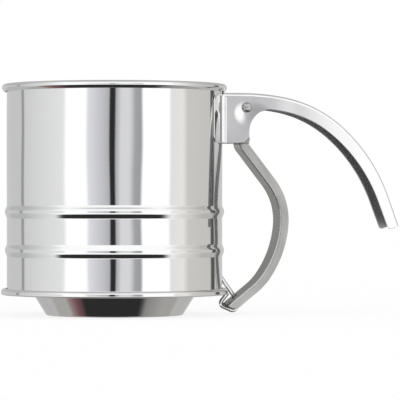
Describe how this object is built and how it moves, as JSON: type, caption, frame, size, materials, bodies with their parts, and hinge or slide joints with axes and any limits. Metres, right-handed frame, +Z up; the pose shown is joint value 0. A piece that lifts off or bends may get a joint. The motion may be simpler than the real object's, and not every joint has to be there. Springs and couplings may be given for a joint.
{
  "type": "flour sifter",
  "caption": "Flour sifter of polished steel: a beaded cup with a rolled rim, screen and funnel base, and an arched handle whose squeeze lever pulls a rod that swings an agitator.",
  "frame": {"origin": "middle of the base of the box round the whole sifter, on the surface that the funnel's mouth stands on", "axes": "+Z up along the cup's axis, +X from the cup towards the handle"},
  "size_m": [0.1988, 0.1108, 0.1125],
  "materials": {
    "polished_sheet": "mirror-polished stainless steel sheet",
    "brushed_sheet": "brushed stainless steel sheet",
    "satin_steel": "satin stainless steel",
    "drawn_wire": "bright drawn stainless steel wire",
    "screen": "plain stainless steel mesh"
  },
  "bodies": {
    "cup": {"cup_body": "polished_sheet", "base_funnel": "polished_sheet", "sieve_mesh": "screen", "support_bridge": "satin_steel", "centre_pin": "satin_steel", "screen_washer": "satin_steel", "hub_washer": "satin_steel", "handle_arm": "polished_sheet", "pivot_rivet": "satin_steel", "pivot_bush": "satin_steel", "pivot_washer_front": "satin_steel", "pivot_washer_back": "satin_steel", "return_spring": "drawn_wire"},
    "lever": {"squeeze_lever": "brushed_sheet"},
    "agitator": {"agitator_hub": "satin_steel", "agitator_blade_1": "drawn_wire", "agitator_blade_2": "drawn_wire", "agitator_blade_3": "drawn_wire", "agitator_blade_4": "drawn_wire", "crank_pin": "satin_steel"},
    "rod": {"pull_rod": "drawn_wire"}
  },
  "joints": [
    {"name": "lever_squeeze", "type": "hinge", "parent": "cup", "child": "lever", "pos_m": [0.02083, 0, 0.1016], "axis": [0, -1, 0], "range_deg": [0, 8], "stiffness_Nm_per_rad": 0.8, "springref_deg": -17.19, "deforming": ["return_spring"]},
    {"name": "rod_swivel", "type": "hinge", "parent": "lever", "child": "rod", "pos_m": [0.01634, 0, 0.00848], "axis": [0, -1, 0], "range_deg": [-8, 0]},
    {"name": "agitator_turn", "type": "hinge", "parent": "cup", "child": "agitator", "pos_m": [-0.04397, 0, 0.0147], "axis": [0, 0, 1], "range_deg": [0, 55.4]}
  ],
  "couplings": [
    {"joint": "rod_swivel", "follows": "lever_squeeze", "ratio": -1},
    {"joint": "agitator_turn", "follows": "lever_squeeze", "ratio": 6.92}
  ]
}
